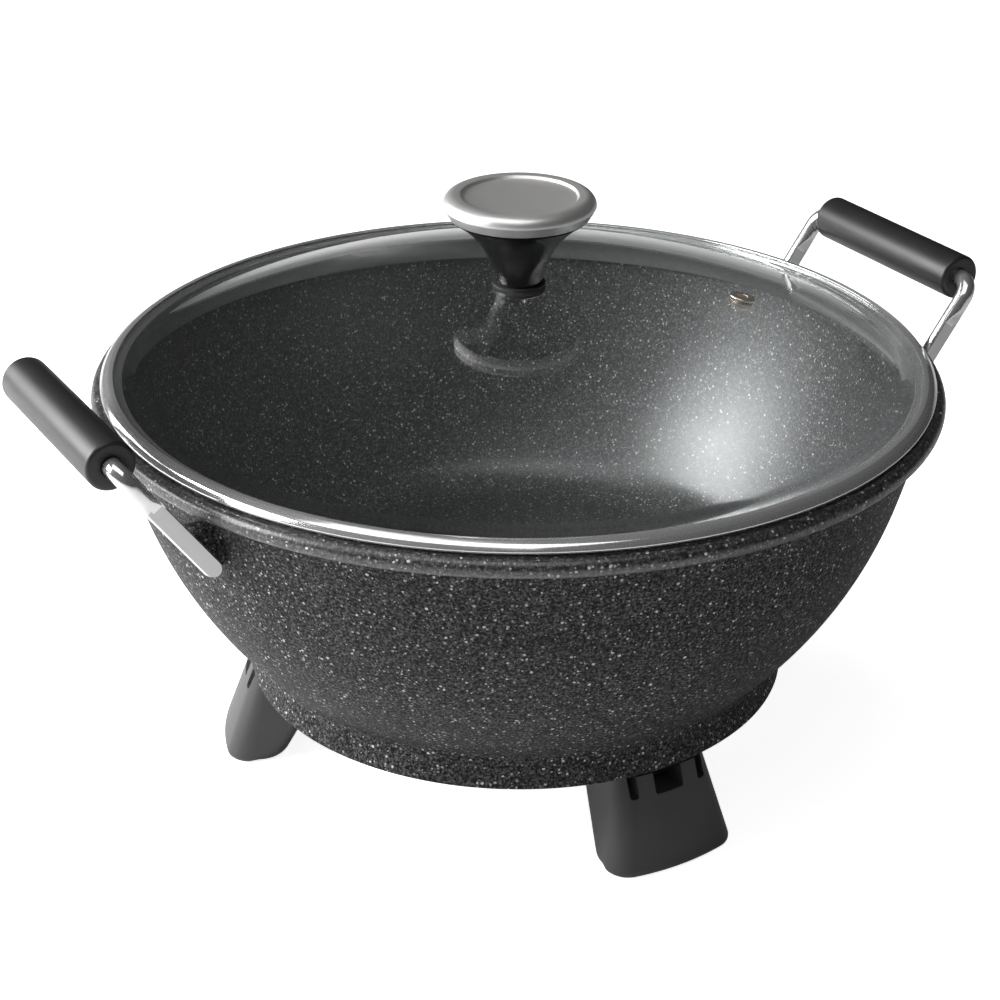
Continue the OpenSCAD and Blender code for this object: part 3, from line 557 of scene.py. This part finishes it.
def handleWire(name, side):
    # drawn lying flat: bar along y, leg along -x, then tipped to its slope
    h = handle
    fresh()
    bpy.ops.mesh.primitive_circle_add(vertices=40, radius=h["wireR"] * mm, location=(0, 0, 0),
                                      rotation=(math.pi / 2, 0, 0))
    piece = bpy.context.object
    piece.name = name
    settle(piece)
    bpy.ops.object.mode_set(mode="EDIT")
    bpy.ops.mesh.select_all(action="SELECT")
    drawOn([(0, (h["half"] - h["bend"]) * mm, 0)])
    bpy.ops.mesh.spin(steps=16, angle=-math.pi / 2, axis=(0, 0, 1),
                      center=(-h["bend"] * mm, (h["half"] - h["bend"]) * mm, 0))
    drawOn([(-(h["legLen"] - h["bend"] - h["strapLen"] - h["blend"]) * mm, 0, 0)])
    # the blend from round wire to flat strap
    at = -(h["legLen"] - h["strapLen"] - h["blend"])
    wide = 1.0
    stride = h["blend"] / h["blendSteps"]
    for step in range(1, h["blendSteps"] + 1):
        share = step / h["blendSteps"]
        drawOn([(-stride * mm, 0, 0)])
        at -= stride
        ease = share * share * (3 - 2 * share)
        nextWide = 1 + (h["strapHalf"] / h["wireR"] - 1) * ease
        bpy.ops.transform.resize(value=(1, 1, nextWide / wide),
                                 center_override=(at * mm, h["half"] * mm, 0))
        wide = nextWide
        flatAt = h["wireR"] + (h["strapFlat"] - h["wireR"]) * ease
        for face in (1, -1):
            plane = (h["half"] + face * flatAt) * mm
            pick(piece, "VERT", lambda v: abs(v.co.x - at * mm) < 1e-6 and (v.co.y - plane) * face > 0)
            bpy.ops.transform.resize(value=(1, 0, 1), center_override=(at * mm, plane, 0))
        pick(piece, "VERT", lambda v: abs(v.co.x - at * mm) < 1e-6)
    drawOn([(-h["strapLen"] * mm, 0, 0)])
    at -= h["strapLen"]
    # the rounded tip
    last = 1.0
    done = 0.0
    for angle in h["tipTurns"]:
        out = h["strapHalf"] * math.sin(math.radians(angle))
        drawOn([((done - out) * mm, 0, 0)])
        narrow = math.cos(math.radians(angle))
        bpy.ops.transform.resize(value=(1, 1, narrow / last),
                                 center_override=((at - out) * mm, h["half"] * mm, 0))
        last = narrow
        done = out
    bpy.ops.mesh.edge_face_add()
    bpy.ops.object.mode_set(mode="OBJECT")
    twin = piece.modifiers.new("twin", "MIRROR")
    twin.use_axis = (False, True, False)
    twin.merge_threshold = 0.00001
    bpy.ops.object.modifier_apply(modifier=twin.name)
    piece.rotation_euler = (0, -math.radians(lug["slope"]), 0)
    piece.location = (lug["gripX"] * mm, 0, lug["gripZ"] * mm)
    settle(piece)
    piece.scale = (side, 1, 1)
    settle(piece)
    bpy.ops.object.mode_set(mode="EDIT")
    tidyMesh()
    smooth(piece, 40)
    # the pressed faces of the strap are satin, the rest stays polished
    for finishName in ("polished", "satin"):
        piece.data.materials.append(finishes[finishName])
    strapTop = strapPoint(h["strapLen"], 0)[1] * mm
    for face in piece.data.polygons:
        face.material_index = 1 if abs(face.normal.y) > 0.95 and face.center.z < strapTop else 0
    return piece


grip = {"radius": 9.85, "length": 92.6, "bore": 3.95, "round": 1.6, "rim": 0.9, "dish": 0.35, "pocket": 3.6}


def handleGrip(name, side):
    g = grip
    fresh()
    bpy.ops.mesh.primitive_cylinder_add(vertices=96, radius=g["radius"] * mm, depth=g["length"] * mm,
                                        location=(side * lug["gripX"] * mm, 0, lug["gripZ"] * mm),
                                        rotation=(math.pi / 2, 0, 0))
    piece = bpy.context.object
    piece.name = name
    settle(piece)
    bpy.ops.object.mode_set(mode="EDIT")
    pick(piece, "EDGE", lambda e: abs(e.verts[0].co.y - e.verts[1].co.y) < 1e-6)
    bpy.ops.mesh.bevel(offset=g["round"] * mm, segments=6, affect="EDGES")
    pick(piece, "FACE", lambda f: abs(f.normal.y) > 0.999)
    bpy.ops.mesh.inset(thickness=(g["radius"] - g["round"] - g["bore"] - g["rim"]) * mm)
    bpy.ops.mesh.inset(thickness=g["rim"] * mm, depth=-g["dish"] * mm)
    for end in (1, -1):
        pick(piece, "FACE", lambda f: f.normal.y * end > 0.999 and len(f.verts) > 50)
        drawOn([(0, -end * g["pocket"] * mm, 0)])
    tidyMesh()
    smooth(piece, 30)
    return piece


for side, word in ((1, "right"), (-1, "left")):
    wire = handleWire(word + "HandleWire", side)
    dress(wire, "pot", "polished_steel", "polished", word + "_handle_wire")
    hold = handleGrip(word + "Grip", side)
    dress(hold, "pot", "grip_plastic", "gripBlack", word + "_grip")
print("handles made")


# lid: a glass dome with a rolled steel band round its edge
lid = {"radius": 174, "seatZ": 175.3, "sheet": 0.8, "lipR": 165.2, "lipZ": 164, "hemR": 171,
       "beadLow": 176.2, "beadTop": 180.4, "crimpR": 168.4, "crimpT": 0.6, "pocketR": 169.8,
       "pocketZ": 176.1, "glassR": 169.6, "glassLow": 176.2, "glassEdge": 179.7, "flatR": 161.2,
       "glassT": 4, "domeTop": 212.4, "hole": 4.2, "ventR": 95, "ventTurn": -22.6, "ventBore": 3.2,
       "ventCut": 20}


def glassSection(g):
    rise = g["domeTop"] - g["glassEdge"]
    dome = (g["flatR"] ** 2 + rise * rise) / (2 * rise)
    centre = (0, g["domeTop"] - dome)
    inside = dome - g["glassT"]
    top = bow(centre, dome, 90 - math.degrees(math.asin(g["hole"] / dome)),
              90 - math.degrees(math.asin(g["flatR"] / dome)), 56)
    edge = soften([(g["flatR"], g["glassEdge"], 0), (g["glassR"], g["glassEdge"], 1.0),
                   (g["glassR"], g["glassLow"], 1.0), (g["flatR"], g["glassLow"], 0)], 4)[1:-1]
    below = bow(centre, inside, 90 - math.degrees(math.asin(g["flatR"] / inside)),
                90 - math.degrees(math.asin(g["hole"] / inside)), 56)
    return top + edge + below, dome, centre[1]


section, domeR, domeZ = glassSection(lid)
lidGlass = turned("lidGlass", section, 240)
tilt = math.asin(lid["ventR"] / domeR)
turn = math.radians(lid["ventTurn"])
fresh()
bpy.ops.mesh.primitive_cylinder_add(
    vertices=40, radius=lid["ventBore"] * mm, depth=lid["ventCut"] * mm, rotation=(0, tilt, turn),
    location=(lid["ventR"] * math.cos(turn) * mm, lid["ventR"] * math.sin(turn) * mm,
              (domeZ + domeR * math.cos(tilt)) * mm))
ventCut = bpy.context.object
settle(ventCut)
cutAway(lidGlass, ventCut)
smooth(lidGlass, 30)
dress(lidGlass, "lid", "lid_glass", "glass", "lid_glass")

bandSection = soften([
    (lid["lipR"] - lid["sheet"], lid["lipZ"], 0.35), (lid["lipR"], lid["lipZ"], 0.35),
    (lid["lipR"], lid["seatZ"], 0.5), (lid["hemR"], lid["seatZ"], 0.3),
    (lid["hemR"] + 0.2, lid["beadLow"] - 0.05, 0.2),
    (lid["radius"] - 0.3, lid["beadLow"], 0.6), (lid["radius"], lid["beadLow"] + 1.2, 0.8),
    (lid["radius"] - 1.5, lid["beadTop"] - 1.1, 4.0), (lid["radius"] - 3.6, lid["beadTop"], 1.2),
    (lid["crimpR"], lid["beadTop"], 0.28), (lid["crimpR"], lid["beadTop"] - lid["crimpT"], 0.28),
    (lid["pocketR"], lid["beadTop"] - lid["crimpT"], 0.2), (lid["pocketR"], lid["pocketZ"], 0.2),
    (lid["lipR"] - lid["sheet"], lid["pocketZ"], 0.7)], 6)
lidBand = turned("lidBand", bandSection, 288)
smooth(lidBand, 40)
dress(lidBand, "lid", "polished_steel", "rolledBand", "lid_band")
print("lid made")


# knob: a flared stem under a pressed cap with a shallow dish
knob = {"foot": 213.4, "footR": 9.6, "height": 28.4, "flareR": 40, "flareDrop": 6, "plugR": 22.3,
        "plugZ": 248.7, "capR": 31.6, "capRound": 4.6, "edgeOut": 0.4, "edgeZ": 242.4, "edgeRound": 0.35,
        "wideZ": 246.6, "crest": 251.2, "dishR": 23.5, "dishDepth": 1.4, "sheet": 1.0}


def knobSections(k):
    flareX = k["footR"] + math.sqrt(k["flareR"] ** 2 - k["flareDrop"] ** 2)
    flareZ = k["foot"] - k["flareDrop"]
    top = k["foot"] + k["height"]
    stem = bow((flareX, flareZ), k["flareR"], 180 - math.degrees(math.asin(k["flareDrop"] / k["flareR"])),
               180 - math.degrees(math.asin((top - flareZ) / k["flareR"])), 40)
    topR = stem[-1][0]
    body = [(0, k["foot"])]
    body += soften([(0, k["foot"], 0), (*stem[0], 0.4), (*stem[1], 0)], 3)[1:-1]
    body += stem[1:-1] + soften([(*stem[-2], 0), (topR, top, 0.5), (k["plugR"], top, 0)], 4)[1:]
    body += [(k["plugR"], k["plugZ"]), (0, k["plugZ"])]
    edgeR = topR + k["edgeOut"]
    dishZ = k["crest"] - k["dishDepth"]
    crest = (k["capR"] - k["capRound"], k["wideZ"])
    cap = [(0, dishZ)]
    cap += soften([(0, dishZ, 0), (k["dishR"], dishZ, 0.5), (k["dishR"] + 0.8, k["crest"] - 0.2, 0.4),
                   (crest[0], k["crest"], 0)], 4)[1:-1]
    cap += bow(crest, k["capRound"], 90, 0, 18)
    cap += soften([(k["capR"], k["wideZ"], 0), (edgeR, k["edgeZ"], k["edgeRound"]),
                   (edgeR - k["sheet"], k["edgeZ"], k["edgeRound"]),
                   (k["capR"] - k["sheet"], k["wideZ"], 0)], 4)[1:-1]
    cap += bow(crest, k["capRound"] - k["sheet"], 0, 90, 12)
    cap += [(k["dishR"] + k["sheet"], k["crest"] - k["sheet"]), (k["dishR"], dishZ - k["sheet"]),
            (0, dishZ - k["sheet"])]
    return body, cap


bodySection, capSection = knobSections(knob)
knobBody = turned("knobBody", bodySection, 128, closed=False)
smooth(knobBody, 35)
dress(knobBody, "lid", "knob_plastic", "knobBlack", "knob_body")
knobCap = turned("knobCap", capSection, 160, closed=False)
smooth(knobCap, 32)
dress(knobCap, "lid", "cap_steel", "brushedCap", "knob_cap")
print("knob made")


# legs: a curved outer face, round corners, open at the back, three notches under the skirt
leg = {"turns": {"front": -88.5, "right": 30, "left": 153}, "toe": 132, "footHalf": 30.5,
       "footCorner": 11, "heel": 103.5, "heelHalf": 29, "heelCorner": 11, "face": 104, "edge": 3.2,
       "topZ": 40.9, "top": 116.8, "topHalf": 22, "topCorner": 9, "topBack": 79.2, "shoulderZ": 39.7,
       "spigot": 112.6, "wall": 3, "footT": 4, "seatZ": 30.7, "hollowBack": 63.5, "hollowRound": 1.2,
       "notches": ((0, 13.6), (16.4, 3.8), (-16.4, 3.8)), "notchZ": 31, "notchBack": 107.8,
       "notchRound": 1.1, "cutReach": 137, "cutTop": 50, "ringR": 150, "ringTop": 46}


def legOutline(reach, half, corner, back, backHalf, backCorner):
    # plan of a leg that points along +x, drawn counter-clockwise from its near front corner
    y = half - corner
    x = reach - leg["face"] + math.sqrt((leg["face"] - corner) ** 2 - y * y)
    lean = math.degrees(math.asin(y / (leg["face"] - corner)))
    path = bow((x, -y), corner, -90, -lean, 10)
    path += bow((reach - leg["face"], 0), leg["face"], -lean, lean, 16)[1:-1]
    path += bow((x, y), corner, lean, 90, 10)
    path += bow((back + backCorner, backHalf - backCorner), backCorner, 90, 180, 10)
    return path + bow((back + backCorner, backCorner - backHalf), backCorner, 180, 270, 10)


def drawLoop(name, path, z):
    piece = startPoint(name, (path[0][0] * mm, path[0][1] * mm, z * mm))
    closed = path + path[:1]
    drawOn([((b[0] - a[0]) * mm, (b[1] - a[1]) * mm, 0) for a, b in zip(closed, closed[1:])])
    bpy.ops.mesh.select_all(action="SELECT")
    bpy.ops.mesh.remove_doubles(threshold=weld)
    bpy.ops.object.mode_set(mode="OBJECT")
    return piece


def mouldedLeg(name):
    g = leg
    top = drawLoop(name, legOutline(g["top"], g["topHalf"], g["topCorner"], g["topBack"], g["topHalf"],
                                    g["topCorner"]), g["topZ"])
    piece = drawLoop(name, legOutline(g["toe"], g["footHalf"], g["footCorner"], g["heel"], g["heelHalf"],
                                      g["heelCorner"]), 0)
    join([top], piece)
    bpy.ops.object.mode_set(mode="EDIT")
    bpy.ops.mesh.select_all(action="SELECT")
    bpy.ops.mesh.bridge_edge_loops()
    for z in (0, g["topZ"]):
        pick(piece, "VERT", lambda v: abs(v.co.z - z * mm) < 1e-6)
        bpy.ops.mesh.edge_face_add()
    pick(piece, "EDGE", lambda e: max(v.co.z for v in e.verts) < 1e-6)
    bpy.ops.mesh.bevel(offset=g["edge"] * mm, segments=6, affect="EDGES")
    tidyMesh()
    # hollow behind the outer wall, its front leaning with the face
    half = g["topHalf"] - 2 * g["wall"]
    outline = [(g["hollowBack"], g["footT"]), (g["toe"] - g["edge"] - g["wall"], g["footT"]),
               (g["top"] - g["wall"], g["seatZ"]), (g["hollowBack"], g["seatZ"])]
    hollow = drawPath("hollow", outline, -half)
    thicken(2 * half)
    bpy.ops.mesh.select_all(action="SELECT")
    bpy.ops.mesh.bevel(offset=g["hollowRound"] * mm, segments=4, affect="EDGES")
    tidyMesh()
    cutAway(piece, hollow)
    for at, wide in g["notches"]:
        cutAway(piece, block((g["notchBack"], at - wide / 2, g["notchZ"]),
                             (g["cutReach"], at + wide / 2, g["cutTop"]), g["notchRound"], 0))
    ring = turned("shoulderCut", [(g["spigot"], g["shoulderZ"]), (g["ringR"], g["shoulderZ"]),
                                  (g["ringR"], g["ringTop"]), (g["spigot"], g["ringTop"])], 160)
    cutAway(piece, ring)
    return piece


firstLeg = mouldedLeg("legPattern")
for word, turn in leg["turns"].items():
    only(firstLeg)
    bpy.ops.object.duplicate()
    piece = bpy.context.object
    piece.name = word + "Leg"
    piece.rotation_euler = (0, 0, math.radians(turn))
    settle(piece)
    smooth(piece, 32)
    dress(piece, "pot", "leg_plastic", "legBlack", word + "_leg")
remove(firstLeg)
print("legs made")


# finishes for the pieces that keep their solid's own shape
kept = {"heating_element": "sheath", "left_terminal_pin": "turnedPin", "right_terminal_pin": "turnedPin",
        "terminal_bushes": "ceramic", "probe_sleeve": "turnedPin", "inlet_guard": "legBlack",
        "guard_screws": "zinc", "base_plate": "sheet", "leg_screws": "zinc", "handle_rivets": "polished",
        "vent_eyelet": "brass", "knob_screw": "zinc", "knob_washer": "zinc", "knob_gaskets": "rubber"}
for node, name in kept.items():
    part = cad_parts[node]
    part.data.materials.clear()
    part.data.materials.append(finishes[name])
print("kept nodes dressed:", len(kept))


# studio: pale floor, soft lamps, camera at the photograph's angle
studio = {"floorSize": 24, "floorGlow": 0.85, "floorMirrored": 0.05, "floorColour": 0.90,
          "worldDiffuse": 0.16, "worldLow": 0.012, "worldHigh": 0.05}

fresh()
bpy.ops.mesh.primitive_plane_add(size=1, location=(0, 0, 0))
floor = bpy.context.object
floor.name = "floor"
floor.scale = (studio["floorSize"], studio["floorSize"], 1)
settle(floor)


def lookedAt(shade):
    # rays that see the background straight or through glass, and rays mirrored in metal or glass
    direct, glossy, through, bounces = shade.node("ShaderNodeLightPath", out=(
        "Is Camera Ray", "Is Glossy Ray", "Is Transmission Ray", "Glossy Depth"))
    inGlass = through * bounces.clip()
    return direct.most(through - inGlass), glossy.most(inGlass)


def floorBuild(shade):
    straight, mirrored = lookedAt(shade)
    seen = straight * studio["floorGlow"]
    mat = shade.node("ShaderNodeBsdfDiffuse", {}, {"Color": grey(studio["floorColour"])})
    glow = shade.node("ShaderNodeEmission", {}, {"Strength": seen.most(mirrored * studio["floorMirrored"])})
    return shade.node("ShaderNodeAddShader", {}, {0: mat, 1: glow})


floor.data.materials.append(finish("paleFloor", floorBuild))

world = bpy.data.worlds.new("studioWorld")
bpy.context.scene.world = world
world.use_nodes = True
sky = Shade(world.node_tree)
straight, mirrored = lookedAt(sky)
way = sky.node("ShaderNodeTexCoord", out="Generated")
height = sky.node("ShaderNodeVectorMath", {"operation": "DOT_PRODUCT"}, {0: way, 1: (0, 0, 1)}, "Value")
shine = studio["worldLow"] + height.clip() * (studio["worldHigh"] - studio["worldLow"])
level = straight + (1 - straight) * (mirrored * shine + (1 - mirrored) * studio["worldDiffuse"])
back = sky.node("ShaderNodeBackground", {}, {"Color": (1, 1, 1, 1), "Strength": level})
sky.node("ShaderNodeOutputWorld", {}, {"Surface": back})


def softbox(name, place, aim, size, power):
    fresh()
    bpy.ops.object.light_add(type="AREA", location=place)
    lamp = bpy.context.object
    lamp.name = name
    lamp.data.shape = "RECTANGLE"
    lamp.data.size, lamp.data.size_y = size
    lamp.data.energy = power
    lamp.rotation_euler = (Vector(aim) - Vector(place)).to_track_quat("-Z", "Y").to_euler()


lamps = {
    "leftBox": {"place": (-1.25, 0.62, 0.80), "aim": (0.10, 0, 0.12), "size": (0.95, 0.85), "power": 43},
    "backLeftBox": {"place": (-0.85, 1.30, 0.62), "aim": (0, 0, 0.18), "size": (0.75, 0.70), "power": 9},
    "topLeftBox": {"place": (-0.45, -0.25, 1.45), "aim": (0, 0, 0.14), "size": (1.30, 0.90), "power": 6.5},
}
for name, setting in lamps.items():
    softbox(name, **setting)

eye = {"place": (-0.455588, -0.772078, 0.554103), "right": (0.86656, -0.49904, 0.0049),
       "up": (0.21682, 0.3853, 0.89696), "ahead": (0.44951, 0.77621, -0.44209), "lens": 83.05, "sensor": 36,
       "nearest": 0.01}
fresh()
bpy.ops.object.camera_add(location=eye["place"])
camera = bpy.context.object
axes = [Vector(eye["right"]), Vector(eye["up"]), -Vector(eye["ahead"])]
camera.rotation_euler = Matrix(axes).transposed().to_euler()
camera.data.lens = eye["lens"]
camera.data.sensor_width = eye["sensor"]
camera.data.clip_start = eye["nearest"]
bpy.context.scene.camera = camera
bpy.context.scene.view_settings.view_transform = "Standard"
print("studio set")

fresh()
